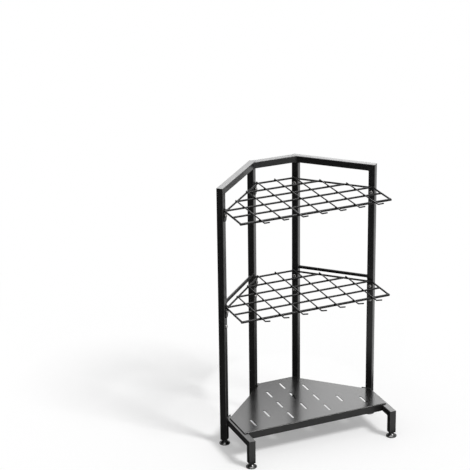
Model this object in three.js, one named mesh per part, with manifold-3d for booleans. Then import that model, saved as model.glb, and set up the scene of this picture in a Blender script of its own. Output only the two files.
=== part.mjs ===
// A freestanding rack for long garden tools: a steel tube frame, two welded wire shelves with
// upturned hooks along the front, a folded base plate and six screw-in levelling feet.
// Millimetres, +Z up. The origin is on the floor at the middle of the plan, +X is the rack's
// right-hand side seen from the front and +Y is its back.

import * as THREE from "three";
import { mergeVertices } from "three/addons/utils/BufferGeometryUtils.js";
import Module from "manifold-3d";

const wasm = await Module();
wasm.setup();

// Driving sizes of the whole rack
const postSpacing = 600; // between the axes of the left and right posts
const rearDepth = 210; // rear posts' axes behind the left and right posts' axes
const postHeight = 987; // a post from the underside of its tube to its top
const standHeight = 18; // floor to the underside of the tubes, with the feet as delivered
const legDepth = 210; // front legs' axes in front of the left and right posts' axes
const legInset = 15; // front legs' axes inside the left and right posts' axes
const armTop = 89.5; // top of the base arms above the underside of the tubes
const seamHeight = 444; // joint between the lower and upper posts above the underside of the tubes
const seat = 0.3; // gap between pieces that rest on or are welded to each other

// Square steel tube
const tubeSide = 25;
const tubeWall = 1.5;
const tubeCorner = 2.2; // outer corner radius
const cornerSteps = 3;

// Splice sleeve that joins a lower post to its upper post
const sleeveReach = 40; // into each post
const sleeveWall = 1.6;
const sleeveCorner = 1.2;

// Button-head bolt and the nut welded behind each bolt hole
const boltHeadRadius = 7;
const boltHeadHeight = 4.4;
const boltRimHeight = 1.1;
const boltShankRadius = 4;
const boltShankLength = 15;
const socketWidth = 5; // across the flats
const socketSides = 6;
const socketDepth = 2.6;
const boltFit = 0.3; // radial clearance round a shank
const nutRadius = 6.5;
const nutLength = 6;
const spliceBoltHeight = 11; // above the joint between the posts
const boltSides = 16;
const holeSides = 12;
const boltDomeSteps = 4;

// Levelling foot
const footRadius = 20;
const footRimHeight = 4.2;
const footEdge = 1; // chamfer round the rim
const footDomeHeight = 12.8;
const neckRadius = 8.5;
const footGap = 3; // neck's top to the tube above it
const studRadius = 4;
const studReach = 25; // above the underside of the tube that it screws into
const footSides = 24;
const endPlate = 3; // closes the lower end of a post or leg
const threadedBoss = 6; // nut welded above the end plate

// Mid rail
const midRailRadius = 6;
const midRailRise = 14.5; // above the lower shelf

// Wire shelves
const lowerShelfRise = 88; // joint between the posts to the plane of the lower shelf's cross wires
const upperShelfDrop = 85; // top of the posts to the plane of the upper shelf's cross wires
const shelfInset = 8; // side wires' axes inside the left and right posts' axes
const shelfFront = 156; // front wire's axis in front of the left and right posts' axes
const shelfRearInset = 9; // rear of the rim in front of the rear posts' axes
const crossCount = 4; // between the front wire and the rear of the rim
const crossRadius = 3.5;
const frontWireRadius = 4.5;
const rimRadius = 3.5;
const rimBend = 12; // bend radius on the axis
const bendSteps = 3;
const weldBite = 0.4; // how far a welded wire sinks into its tab
const wireSides = 12;

// Hook wires along the depth of a shelf
const hookPitch = 73.5;
const hookCount = 7;
const hookRadius = 2.5;
const hookOverhang = 2; // past the axis of the rim at the back
const hookReach = 41.5; // front wire's axis to the bend
const hookLength = 43.5; // bend to tip
const hookRise = THREE.MathUtils.degToRad(23);
const hookBend = 12;

// Mounting tabs
const tabWidth = 22;
const tabThickness = 4;
const tabDrop = 42; // shelf plane to the rounded lower end
const tabBoltDrop = 19.5; // shelf plane to the bolt
const tabSteps = 10;

// Base plate, a shallow folded pan
const plateThickness = 2.5;
const plateRimDepth = 4.2; // folded edge, which rests on the base arms
const plateInset = 11.3; // sides inside the left and right posts' axes
const plateSetback = 52.6; // front face behind the front legs' axes
const plateRearInset = 10; // rear face in front of the rear posts' axes
const plateClearance = 11.5; // between the slanting edges and the inner faces of the posts
const lipHeight = 29;
const lipClearance = 1;
const slotLength = 54;
const slotWidth = 8;
const slotPitchAcross = 75;
const slotPitchDeep = 47;
const slotEndSteps = 5;
// Slot places in pitches across and in pitches in front of (negative) or behind the posts' axes
const slotPlaces = [
  { across: 0, deep: [-1, 1, 3] },
  { across: 1, deep: [-2, 0, 2] },
  { across: 2, deep: [-1] },
  { across: 3, deep: [-2] },
];
const bracketWidth = 20;
const bracketThickness = 2;
const bracketDrop = 24;
const bracketLap = 14; // under the plate
const rivetRadius = 3;
const rivetHead = 5;
const rivetHeadHeight = 2;

const overrun = 5; // how far a cutting tool runs past what it cuts
const pointGap = 0.001; // points closer than this are one point

// Places worked out from the driving sizes
const halfTube = tubeSide / 2;
const boreSide = tubeSide - 2 * tubeWall;
const frameTurn = Math.PI / 4;
const rearSpacing = postSpacing - 2 * rearDepth; // the sides slant by 45 degrees
const frameSpan = rearDepth * Math.SQRT2;
const innerPlane = postSpacing / 2 - halfTube * Math.SQRT2; // |x| + y on the posts' inner faces
const rimPlane = innerPlane - (seat + tabThickness + rimRadius - weldBite) * Math.SQRT2;
const platePlane = innerPlane - plateClearance * Math.SQRT2;
const shelfHeights = {
  lower: seamHeight + lowerShelfRise,
  upper: postHeight - upperShelfDrop,
};
const shelfHalfWidth = postSpacing / 2 - shelfInset;
const shelfRear = rearDepth - shelfRearInset;
const crossPitch = (shelfFront + shelfRear) / (crossCount + 1);
const midRailHeight = shelfHeights.lower + midRailRise;
const plateTop = armTop + seat + plateRimDepth;
const plateHalfWidth = postSpacing / 2 - plateInset;
const plateFront = legDepth - plateSetback;
const plateRear = rearDepth - plateRearInset;
const neckHeight = standHeight - footGap;
const studTop = standHeight + studReach;
const frontExtent =
  shelfFront + hookReach + hookLength * Math.cos(hookRise) + hookRadius * Math.sin(hookRise);
const rearExtent = rearDepth + footRadius;
const armAxisHeight = armTop - halfTube;

// Steel and plastic finishes
const finishes = {
  coat: { color: 0x1b1b1c, roughness: 0.34, metalness: 0.1 },
  wire: { color: 0x202021, roughness: 0.3, metalness: 0.15 },
  plate: { color: 0x262628, roughness: 0.28, metalness: 0.1 },
  bolt: { color: 0x4a4b4d, roughness: 0.3, metalness: 0.9 },
  foot: { color: 0x141414, roughness: 0.2, metalness: 0 },
};

function material(finish) {
  return new THREE.MeshStandardMaterial(finishes[finish]);
}

// Solids for joining and cutting

function solid(geometry) {
  const bare = geometry.index ? geometry.toNonIndexed() : geometry.clone();
  bare.deleteAttribute("normal");
  bare.deleteAttribute("uv");
  const merged = mergeVertices(bare, pointGap);
  return new wasm.Manifold(
    new wasm.Mesh({
      numProp: 3,
      vertProperties: merged.attributes.position.array,
      triVerts: new Uint32Array(merged.index.array),
    }),
  );
}

function joined(solids) {
  return solids.reduce((whole, piece) => whole.add(piece));
}

function cut(body, tools) {
  return tools.reduce((left, tool) => left.subtract(tool), body);
}

function geometryOf(body) {
  const faces = body.getMesh();
  const geometry = new THREE.BufferGeometry();
  geometry.setAttribute("position", new THREE.BufferAttribute(faces.vertProperties, 3));
  geometry.setIndex(new THREE.BufferAttribute(faces.triVerts, 1));
  const flat = geometry.toNonIndexed();
  flat.computeVertexNormals();
  return flat;
}

function mesh(name, geometry, finish) {
  const piece = new THREE.Mesh(geometry, material(finish));
  piece.name = name;
  return piece;
}

// Outlines

// A square with rounded corners, or with sharp ones where the corner radius is 0
function squareOutline(side, corner) {
  const inset = side / 2 - corner;
  const points = [];
  const steps = corner ? cornerSteps : 0;
  for (let quarter = 0; quarter < 4; quarter++) {
    const start = (quarter * Math.PI) / 2;
    const centre = new THREE.Vector2(inset, inset).rotateAround(new THREE.Vector2(), start);
    for (let step = 0; step <= steps; step++) {
      const angle = start + ((step / cornerSteps) * Math.PI) / 2;
      points.push(
        new THREE.Vector2(
          centre.x + corner * Math.cos(angle),
          centre.y + corner * Math.sin(angle),
        ),
      );
    }
  }
  return new THREE.Shape(points);
}

function roundOutline(radius, sides) {
  const points = [];
  for (let step = 0; step < sides; step++) {
    const angle = ((step + 0.5) / sides) * 2 * Math.PI;
    points.push(new THREE.Vector2(radius * Math.cos(angle), radius * Math.sin(angle)));
  }
  return new THREE.Shape(points);
}

// A slot or tab outline: straight sides from low to high, round at the low end, and round or
// square at the high end
function tongueOutline(halfWidth, low, high, steps, roundTop) {
  const points = [];
  for (let step = 0; step <= steps; step++) {
    const angle = Math.PI + (step / steps) * Math.PI;
    points.push(new THREE.Vector2(halfWidth * Math.cos(angle), low + halfWidth * Math.sin(angle)));
  }
  if (roundTop) {
    for (let step = 0; step <= steps; step++) {
      const angle = (step / steps) * Math.PI;
      points.push(
        new THREE.Vector2(halfWidth * Math.cos(angle), high + halfWidth * Math.sin(angle)),
      );
    }
  } else {
    points.push(new THREE.Vector2(halfWidth, high));
    points.push(new THREE.Vector2(-halfWidth, high));
  }
  return new THREE.Shape(points);
}

// Straight pieces

function prism(shape, length) {
  return new THREE.ExtrudeGeometry(shape, { depth: length, bevelEnabled: false });
}

function squareBar(side, corner, length) {
  return prism(squareOutline(side, corner), length);
}

// Slants one end of a prism that runs along z, by slopes across x and y
function slantEnd(geometry, end, slopeX, slopeY) {
  const place = geometry.attributes.position;
  for (let i = 0; i < place.count; i++) {
    if (Math.abs(place.getZ(i) - end) < pointGap) {
      place.setZ(i, end + slopeX * place.getX(i) + slopeY * place.getY(i));
    }
  }
  return geometry;
}

function rod(radius, length, sides) {
  return prism(roundOutline(radius, sides), length);
}

function box(low, high) {
  const size = high.clone().sub(low);
  const middle = low.clone().add(high).multiplyScalar(0.5);
  return new THREE.BoxGeometry(size.x, size.y, size.z).translate(middle.x, middle.y, middle.z);
}

// Turns a prism along z so that it runs along +x or +y
function alongX(geometry) {
  return geometry.rotateY(Math.PI / 2);
}

function alongY(geometry) {
  return geometry.rotateX(-Math.PI / 2);
}

// Bent wires

// A curve through given stations, straight between them, that gives each station its own tangent
class StationLine extends THREE.Curve {
  constructor(stations) {
    super();
    this.stations = stations;
  }

  getPoint(t, target = new THREE.Vector3()) {
    const place = t * (this.stations.length - 1);
    const index = Math.min(Math.floor(place), this.stations.length - 2);
    return target.lerpVectors(this.stations[index], this.stations[index + 1], place - index);
  }

  getPointAt(u, target) {
    return this.getPoint(u, target);
  }

  getSpacedPoints(divisions) {
    return this.getPoints(divisions);
  }

  getTangentAt(u, target = new THREE.Vector3()) {
    const index = Math.round(u * (this.stations.length - 1));
    const before = this.stations[Math.max(index - 1, 0)];
    const here = this.stations[index];
    const after = this.stations[Math.min(index + 1, this.stations.length - 1)];
    const into = here.clone().sub(before).normalize();
    const out = after.clone().sub(here).normalize();
    return target.addVectors(into, out).normalize();
  }
}

// Corner points with each inner corner replaced by stations round its bend
function bentStations(corners, bendRadius) {
  const stations = [corners[0]];
  for (let i = 1; i < corners.length - 1; i++) {
    const into = corners[i].clone().sub(corners[i - 1]).normalize();
    const out = corners[i + 1].clone().sub(corners[i]).normalize();
    const turn = into.angleTo(out);
    const axis = into.clone().cross(out).normalize();
    const start = corners[i].clone().addScaledVector(into, -bendRadius * Math.tan(turn / 2));
    const inward = axis.clone().cross(into);
    const centre = start.clone().addScaledVector(inward, bendRadius);
    for (let step = 0; step <= bendSteps; step++) {
      const spoke = start.clone().sub(centre).applyAxisAngle(axis, (step / bendSteps) * turn);
      stations.push(centre.clone().add(spoke));
    }
  }
  stations.push(corners[corners.length - 1]);
  return stations;
}

function bentWire(corners, radius, bendRadius) {
  const stations = bentStations(corners, bendRadius);
  return new THREE.ExtrudeGeometry(roundOutline(radius, wireSides), {
    steps: stations.length - 1,
    bevelEnabled: false,
    extrudePath: new StationLine(stations),
  });
}

// Bolts, on the inner face of a post: the axis is x = 0, the head points to -y

function bolt() {
  const profile = [new THREE.Vector2(0, -boltShankLength)];
  profile.push(new THREE.Vector2(boltShankRadius, -boltShankLength));
  profile.push(new THREE.Vector2(boltShankRadius, 0));
  profile.push(new THREE.Vector2(boltHeadRadius, 0));
  const domeHeight = boltHeadHeight - boltRimHeight;
  for (let step = 0; step < boltDomeSteps; step++) {
    const angle = ((step / boltDomeSteps) * Math.PI) / 2;
    profile.push(
      new THREE.Vector2(
        boltHeadRadius * Math.cos(angle),
        boltRimHeight + domeHeight * Math.sin(angle),
      ),
    );
  }
  profile.push(new THREE.Vector2(0, boltHeadHeight));
  const turned = solid(new THREE.LatheGeometry(profile, boltSides));
  const socketRadius = socketWidth / 2 / Math.cos(Math.PI / socketSides);
  const socket = new THREE.CylinderGeometry(
    socketRadius,
    socketRadius,
    socketDepth + overrun,
    socketSides,
  ).translate(0, boltHeadHeight - socketDepth + (socketDepth + overrun) / 2, 0);
  return geometryOf(cut(turned, [solid(socket)])).rotateZ(Math.PI);
}

// A hole for a shank, or the nut round it, from a wall's outer face at -y inward to +y
function boltBore(radius, x, outerFace, length, height) {
  return solid(alongY(rod(radius, length, holeSides)).translate(x, outerFace, height));
}

// Posts, in the frame of one slanting side: x runs to the rear post and y points outward

function lowerPost(rear) {
  const sleeveSide = boreSide - 2 * seat;
  const sleeveBore = sleeveSide - 2 * sleeveWall;
  const top = seamHeight - seat / 2;
  const tube = solid(squareBar(tubeSide, tubeCorner, top));
  const sleeve = solid(
    squareBar(sleeveSide, sleeveCorner, 2 * sleeveReach).translate(0, 0, seamHeight - sleeveReach),
  );
  // The sleeve is welded in, so below the joint the post is solid out to the tube.
  const bore = solid(
    squareBar(boreSide, 0, seamHeight - sleeveReach - endPlate).translate(0, 0, endPlate),
  );
  const sleeveHole = solid(
    squareBar(sleeveBore, 0, 2 * sleeveReach + 2 * overrun).translate(
      0,
      0,
      seamHeight - sleeveReach - overrun,
    ),
  );
  const boss = solid(rod(nutRadius, endPlate + threadedBoss, holeSides));
  const studHole = solid(
    rod(studRadius + boltFit, endPlate + threadedBoss + 2 * overrun, holeSides).translate(
      0,
      0,
      -overrun,
    ),
  );
  const spliceHeight = seamHeight + spliceBoltHeight;
  const spliceFace = -sleeveSide / 2;
  const spliceNut = boltBore(nutRadius, 0, spliceFace + sleeveWall / 2, nutLength, spliceHeight);
  const spliceHole = boltBore(
    boltShankRadius + boltFit,
    0,
    spliceFace - overrun,
    nutLength + sleeveWall + 2 * overrun,
    spliceHeight,
  );
  let body = cut(joined([tube, sleeve]), [bore, sleeveHole]);
  body = cut(joined([body, boss, spliceNut]), [studHole, spliceHole]);
  if (rear) {
    const rivetHeight = plateTop - plateThickness - bracketDrop / 2;
    body = cut(body, [
      boltBore(
        rivetRadius + boltFit,
        0,
        -halfTube - overrun,
        tubeWall + 2 * overrun,
        rivetHeight,
      ),
    ]);
  }
  return geometryOf(body);
}

function upperPost(rear) {
  const low = seamHeight + seat / 2;
  const length = postHeight - halfTube - low;
  // The top is mitred towards the rail, which runs to +x from a front post and to -x from a rear one.
  const slope = rear ? 1 : -1;
  const tube = slantEnd(squareBar(tubeSide, tubeCorner, length), length, slope, 0);
  const bore = squareBar(boreSide, 0, length + tubeSide + overrun);
  let body = cut(solid(tube.translate(0, 0, low)), [solid(bore.translate(0, 0, low - overrun))]);
  const shelfBolts = Object.values(shelfHeights).map((height) => height - tabBoltDrop);
  for (const height of shelfBolts) {
    const nutFace = -halfTube + tubeWall / 2;
    body = joined([body, boltBore(nutRadius, 0, nutFace, nutLength + tubeWall / 2, height)]);
  }
  const holeLength = tubeWall + nutLength + 2 * overrun;
  const holes = [...shelfBolts, seamHeight + spliceBoltHeight].map((height) =>
    boltBore(boltShankRadius + boltFit, 0, -halfTube - overrun, holeLength, height),
  );
  return geometryOf(cut(body, holes));
}

// Top rails

function slantingTopRail() {
  const gap = seat * Math.SQRT2;
  const length = frameSpan - 2 * gap;
  const shape = squareOutline(tubeSide, tubeCorner);
  shape.holes.push(squareOutline(boreSide, 0));
  const rail = prism(shape, length);
  // Turned to run along x, the bar's own -x side is its top.
  slantEnd(rail, 0, 1, 0);
  slantEnd(rail, length, -1, 0);
  return alongX(rail).translate(gap, 0, postHeight - halfTube);
}

function rearTopRail() {
  const bar = solid(alongX(squareBar(tubeSide, tubeCorner, rearSpacing)));
  const bore = solid(
    alongX(squareBar(boreSide, 0, rearSpacing + 2 * overrun)).translate(-overrun, 0, 0),
  );
  const postTools = [0, rearSpacing].map((x) =>
    solid(
      squareBar(tubeSide + 2 * seat, tubeCorner + seat, tubeSide + 2 * overrun)
        .rotateZ(frameTurn)
        .translate(x, 0, -halfTube - overrun),
    ),
  );
  // What is left between the posts is the rail; scraps beyond them go with the tools.
  const keep = solid(
    box(
      new THREE.Vector3(0, -tubeSide, -tubeSide),
      new THREE.Vector3(rearSpacing, tubeSide, tubeSide),
    ),
  );
  const rail = cut(bar, [bore, ...postTools]).intersect(keep);
  return geometryOf(rail).translate(-rearSpacing / 2, rearDepth, postHeight - halfTube);
}

function midRail() {
  const start = halfTube + seat;
  return alongX(rod(midRailRadius, frameSpan - 2 * start, wireSides)).translate(
    start,
    -halfTube + midRailRadius,
    midRailHeight,
  );
}

// Base arm, for the left side: a horizontal tube from the post's inner face forward, mitred and
// welded to the front leg

function baseArm() {
  const x = -(postSpacing / 2 - legInset);
  const rearEnd = x + innerPlane - seat * Math.SQRT2; // where the arm's axis meets the post's face
  const frontEnd = -legDepth;
  const armLength = rearEnd - frontEnd;
  function arm(side, corner, shorter) {
    const bar = squareBar(side, corner, armLength - shorter);
    slantEnd(bar, armLength - shorter, 1, 0);
    slantEnd(bar, 0, 0, 1);
    return solid(alongY(bar).translate(x, frontEnd, armAxisHeight));
  }
  function leg(side, corner, floor) {
    const bar = squareBar(side, corner, armAxisHeight - floor);
    slantEnd(bar, armAxisHeight - floor, 0, -1);
    return solid(bar.translate(x, -legDepth, floor));
  }
  const outside = joined([arm(tubeSide, tubeCorner, 0), leg(tubeSide, tubeCorner, 0)]);
  const inside = joined([
    arm(boreSide, 0, tubeWall * Math.SQRT2),
    leg(boreSide, 0, endPlate),
  ]);
  const boss = solid(
    rod(nutRadius, endPlate + threadedBoss, holeSides).translate(x, -legDepth, 0),
  );
  const studHole = solid(
    rod(studRadius + boltFit, endPlate + threadedBoss + 2 * overrun, holeSides).translate(
      x,
      -legDepth,
      -overrun,
    ),
  );
  return geometryOf(cut(joined([cut(outside, [inside]), boss]), [studHole]));
}

// Levelling foot on its stud, z = 0 on the floor

function foot() {
  const profile = [
    new THREE.Vector2(0, 0),
    new THREE.Vector2(footRadius - footEdge, 0),
    new THREE.Vector2(footRadius, footEdge),
    new THREE.Vector2(footRadius, footRimHeight - footEdge),
    new THREE.Vector2(footRadius - footEdge, footRimHeight),
    new THREE.Vector2((footRadius + neckRadius) / 2, (footRimHeight + footDomeHeight) / 2),
    new THREE.Vector2(neckRadius, footDomeHeight),
    new THREE.Vector2(neckRadius, neckHeight),
    new THREE.Vector2(studRadius, neckHeight),
    new THREE.Vector2(studRadius, studTop),
    new THREE.Vector2(0, studTop),
  ];
  return new THREE.LatheGeometry(profile, footSides).rotateX(Math.PI / 2);
}

// Shelf pieces, z = 0 at the plane of the cross wires' axes

const deckTop = crossRadius;

// Half the length of a cross wire whose axis is at y, to the inside of the rim
function crossHalfLength(y) {
  const cornerY = rimPlane - shelfHalfWidth;
  const bendCut = rimBend * (1 / Math.cos(frameTurn / 2) - 1);
  const bendReach = rimBend * Math.tan(frameTurn / 2);
  const relief = Math.abs(y - cornerY) < bendReach + crossRadius ? bendCut : 0;
  if (y < cornerY) {
    return shelfHalfWidth - rimRadius - seat - relief;
  }
  return rimPlane - y - (rimRadius + seat + relief) * Math.SQRT2;
}

function crossWire(index) {
  const y = index * crossPitch - shelfFront;
  const half = crossHalfLength(y);
  const slope = y < rimPlane - shelfHalfWidth ? 0 : 1;
  const wire = rod(crossRadius, 2 * half, wireSides);
  // Turned to run along x, the bar's own y stays y; its ends follow the slanting rim.
  slantEnd(wire, 0, 0, slope);
  slantEnd(wire, 2 * half, 0, -slope);
  return alongX(wire).translate(-half, y, 0);
}

function frontWire() {
  const half = shelfHalfWidth + rimRadius;
  return alongX(rod(frontWireRadius, 2 * half, wireSides)).translate(
    -half,
    -shelfFront,
    deckTop - frontWireRadius,
  );
}

// A mounting tab in the frame of one slanting side, on the inner face of the post at x
function tab(x) {
  const width = tabWidth / 2;
  const low = -tabDrop + width;
  const plate = prism(tongueOutline(width, low, deckTop, tabSteps, false), tabThickness)
    .rotateX(Math.PI / 2)
    .translate(x, -halfTube - seat, 0);
  const hole = boltBore(
    boltShankRadius + boltFit,
    x,
    -halfTube - seat - tabThickness - overrun,
    tabThickness + 2 * overrun,
    -tabBoltDrop,
  );
  return { plate: solid(plate), hole };
}

// Moves a solid from the frame of one slanting side into the plan of the rack
function toPlan(body, mirrored) {
  const placed = body
    .rotate([0, 0, THREE.MathUtils.radToDeg(frameTurn)])
    .translate([-postSpacing / 2, 0, 0]);
  return mirrored ? placed.mirror([1, 0, 0]) : placed;
}

function rim() {
  const height = deckTop - rimRadius;
  const frontEnd = -shelfFront + frontWireRadius + seat;
  const left = [
    new THREE.Vector3(-shelfHalfWidth, frontEnd, height),
    new THREE.Vector3(-shelfHalfWidth, rimPlane - shelfHalfWidth, height),
    new THREE.Vector3(shelfRear - rimPlane, shelfRear, height),
  ];
  const right = left.map((corner) => new THREE.Vector3(-corner.x, corner.y, corner.z)).reverse();
  const wire = solid(bentWire([...left, ...right], rimRadius, rimBend));
  const tabs = [0, frameSpan].map(tab);
  const plates = tabs.map(({ plate }) => plate);
  const holes = tabs.map(({ hole }) => hole);
  const everyPlate = [false, true].flatMap((side) => plates.map((body) => toPlan(body, side)));
  const everyHole = [false, true].flatMap((side) => holes.map((body) => toPlan(body, side)));
  return geometryOf(cut(joined([wire, ...everyPlate]), everyHole));
}

// The rim's axis at the back of the shelf, at a distance x from the middle
function rimDepth(x) {
  return Math.min(shelfRear, rimPlane - Math.abs(x));
}

function hookWire(x) {
  const height = deckTop + hookRadius + seat;
  const bendY = -shelfFront - hookReach;
  return bentWire(
    [
      new THREE.Vector3(x, rimDepth(x) + hookOverhang, height),
      new THREE.Vector3(x, bendY, height),
      new THREE.Vector3(
        x,
        bendY - hookLength * Math.cos(hookRise),
        height + hookLength * Math.sin(hookRise),
      ),
    ],
    hookRadius,
    hookBend,
  );
}

// Base plate

function plateOutline(inset) {
  const halfWidth = plateHalfWidth - inset;
  const slant = platePlane - inset * Math.SQRT2;
  const front = -plateFront + inset;
  const rear = plateRear - inset;
  return new THREE.Shape([
    new THREE.Vector2(-halfWidth, front),
    new THREE.Vector2(halfWidth, front),
    new THREE.Vector2(halfWidth, slant - halfWidth),
    new THREE.Vector2(slant - rear, rear),
    new THREE.Vector2(rear - slant, rear),
    new THREE.Vector2(-halfWidth, slant - halfWidth),
  ]);
}

function plateSlots() {
  const half = (slotLength - slotWidth) / 2;
  const outline = tongueOutline(slotWidth / 2, -half, half, slotEndSteps, true);
  const tools = [];
  for (const { across, deep } of slotPlaces) {
    for (const side of across ? [-1, 1] : [1]) {
      for (const row of deep) {
        const tool = prism(outline, plateThickness + 2 * overrun).translate(
          side * across * slotPitchAcross,
          row * slotPitchDeep,
          plateTop - plateThickness - overrun,
        );
        tools.push(solid(tool));
      }
    }
  }
  return tools;
}

// A bracket under the plate's slanting edge, riveted to the inner face of a rear post
function plateBracket() {
  const under = plateTop - plateThickness;
  const face = -halfTube - seat;
  const upright = box(
    new THREE.Vector3(frameSpan - bracketWidth / 2, face - bracketThickness, under - bracketDrop),
    new THREE.Vector3(frameSpan + bracketWidth / 2, face, under),
  );
  const web = box(
    new THREE.Vector3(
      frameSpan - bracketWidth / 2,
      -halfTube - plateClearance - bracketLap,
      under - bracketThickness,
    ),
    new THREE.Vector3(frameSpan + bracketWidth / 2, face, under),
  );
  const rivetHeight = under - bracketDrop / 2;
  const shank = boltBore(
    rivetRadius,
    frameSpan,
    face - bracketThickness / 2,
    bracketThickness / 2 + 2 * seat + tubeWall + rivetHeadHeight,
    rivetHeight,
  );
  const innerHead = boltBore(
    rivetHead,
    frameSpan,
    face - bracketThickness - rivetHeadHeight,
    rivetHeadHeight + bracketThickness / 2,
    rivetHeight,
  );
  return joined([solid(upright), solid(web), shank, innerHead]);
}

function basePlate() {
  const low = plateTop - plateRimDepth;
  const pan = solid(prism(plateOutline(0), plateRimDepth).translate(0, 0, low));
  const hollow = solid(
    prism(plateOutline(plateThickness), plateRimDepth - plateThickness + overrun).translate(
      0,
      0,
      low - overrun,
    ),
  );
  const lipHalfWidth = postSpacing / 2 - legInset - halfTube - lipClearance;
  const lip = solid(
    box(
      new THREE.Vector3(-lipHalfWidth, -plateFront, plateTop - lipHeight),
      new THREE.Vector3(lipHalfWidth, -plateFront + plateThickness, plateTop),
    ),
  );
  const brackets = [false, true].map((side) => toPlan(plateBracket(), side));
  return geometryOf(cut(joined([cut(pan, [hollow]), lip, ...brackets]), plateSlots()));
}

// The rack: everything below stands on the underside of the tubes, standHeight above the floor

const rack = new THREE.Group();
rack.name = "garden_tool_rack";
rack.position.y = (frontExtent - rearExtent) / 2;

function addSide(side) {
  const half = new THREE.Group();
  half.position.z = standHeight;
  half.scale.x = side === "right" ? -1 : 1;
  const frame = new THREE.Group();
  frame.position.x = -postSpacing / 2;
  frame.rotation.z = frameTurn;

  for (const rear of [false, true]) {
    const place = rear ? `rear_${side}` : side;
    const post = new THREE.Group();
    post.position.x = rear ? frameSpan : 0;
    post.add(mesh(`lower_post_${place}`, lowerPost(rear), "coat"));
    post.add(mesh(`upper_post_${place}`, upperPost(rear), "coat"));

    const spliceBolt = mesh(`splice_bolt_${place}`, bolt(), "bolt");
    spliceBolt.position.set(0, -halfTube - seat, seamHeight + spliceBoltHeight);
    post.add(spliceBolt);

    for (const [level, height] of Object.entries(shelfHeights)) {
      const shelfBolt = mesh(`${level}_shelf_bolt_${place}`, bolt(), "bolt");
      shelfBolt.position.set(0, -halfTube - tabThickness - 2 * seat, height - tabBoltDrop);
      post.add(shelfBolt);
    }

    const postFoot = mesh(`foot_${place}`, foot(), "foot");
    postFoot.position.z = -standHeight;
    post.add(postFoot);
    frame.add(post);
  }

  frame.add(mesh(`top_rail_${side}`, slantingTopRail(), "coat"));
  frame.add(mesh(`mid_rail_${side}`, midRail(), "coat"));
  half.add(frame);

  half.add(mesh(`base_arm_${side}`, baseArm(), "coat"));
  const legFoot = mesh(`foot_front_${side}`, foot(), "foot");
  legFoot.position.set(-(postSpacing / 2 - legInset), -legDepth, -standHeight);
  half.add(legFoot);
  rack.add(half);
}

function addShelf(level) {
  const shelf = new THREE.Group();
  shelf.position.z = standHeight + shelfHeights[level];
  shelf.add(mesh(`${level}_shelf_rim`, rim(), "wire"));
  shelf.add(mesh(`${level}_shelf_front_wire`, frontWire(), "wire"));
  for (let index = 1; index <= crossCount; index++) {
    shelf.add(mesh(`${level}_shelf_cross_wire_${index}`, crossWire(index), "wire"));
  }
  for (let index = 0; index < hookCount; index++) {
    const x = (index - (hookCount - 1) / 2) * hookPitch;
    shelf.add(mesh(`${level}_shelf_hook_wire_${index + 1}`, hookWire(x), "wire"));
  }
  rack.add(shelf);
}

addSide("left");
addSide("right");
addShelf("lower");
addShelf("upper");

const rearRail = mesh("top_rail_rear", rearTopRail(), "coat");
rearRail.position.z = standHeight;
rack.add(rearRail);

const plate = mesh("base_plate", basePlate(), "plate");
plate.position.z = standHeight;
rack.add(plate);

// A parent group keeps the rack's shift to the middle of its plan inside the exported frame.
const part = new THREE.Group();
part.add(rack);

export default part;
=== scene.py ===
import math
import random

import bmesh
import bpy
from mathutils import Matrix, Vector


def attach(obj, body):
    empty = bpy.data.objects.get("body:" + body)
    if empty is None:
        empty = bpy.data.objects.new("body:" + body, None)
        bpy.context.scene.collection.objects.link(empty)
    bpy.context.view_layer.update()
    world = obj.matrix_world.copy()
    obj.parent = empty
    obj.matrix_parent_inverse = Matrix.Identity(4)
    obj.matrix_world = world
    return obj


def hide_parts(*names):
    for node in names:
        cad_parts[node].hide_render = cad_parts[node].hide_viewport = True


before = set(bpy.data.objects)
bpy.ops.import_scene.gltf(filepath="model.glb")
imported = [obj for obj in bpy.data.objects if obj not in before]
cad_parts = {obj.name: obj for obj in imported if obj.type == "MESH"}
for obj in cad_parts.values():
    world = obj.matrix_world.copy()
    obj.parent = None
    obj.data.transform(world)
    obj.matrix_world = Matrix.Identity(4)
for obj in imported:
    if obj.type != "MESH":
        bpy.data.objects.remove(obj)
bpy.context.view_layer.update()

# Sizes in millimetres, as in the solids. Heights are above the underside of the tubes.
MM = 0.001
STAND = 18  # the tubes' underside above the floor
SEAT = 0.3  # gap between pieces that touch
SHARP_ANGLE, BEVEL_ANGLE = 38, 50  # degrees

# Frame
POST_X = 300
REAR_X = 90
REAR_Y = 210
SPAN = REAR_Y * math.sqrt(2)  # left or right post to the rear post on its side
POST_TOP = 987
SEAM = 444  # where the lower and upper posts meet
TUBE = 25
HALF = TUBE / 2
CORNER = 2.2
CORNER_STEPS = 6
FOOT_LIP, SEAM_LIP, MITRE_LIP, RAIL_LIP, ARM_LIP = 0.8, 0.4, 0.2, 0.3, 0.15  # tube end chamfers
LEG_X = 285
LEG_Y = -210
ARM_TOP = 89.5
ARM_MIDDLE = ARM_TOP - HALF
RAIL_END = REAR_X - (HALF + SEAT) * math.sqrt(2)  # half the length of the rear rail's ridge
INNER_PLANE = POST_X - HALF * math.sqrt(2)  # x + y on the inner faces of the slanting sides
ARM_REAR = INNER_PLANE - LEG_X - SEAT * math.sqrt(2)  # the arm's rear end, on its axis
POST_FACE = -HALF - SEAT  # y of what sits on a post's inner face, in the slanting frame
MID_RAIL, MID_RAIL_RADIUS, MID_RAIL_ROUND = 546.5, 6, 0.3
ROD_SIDES = 24

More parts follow.
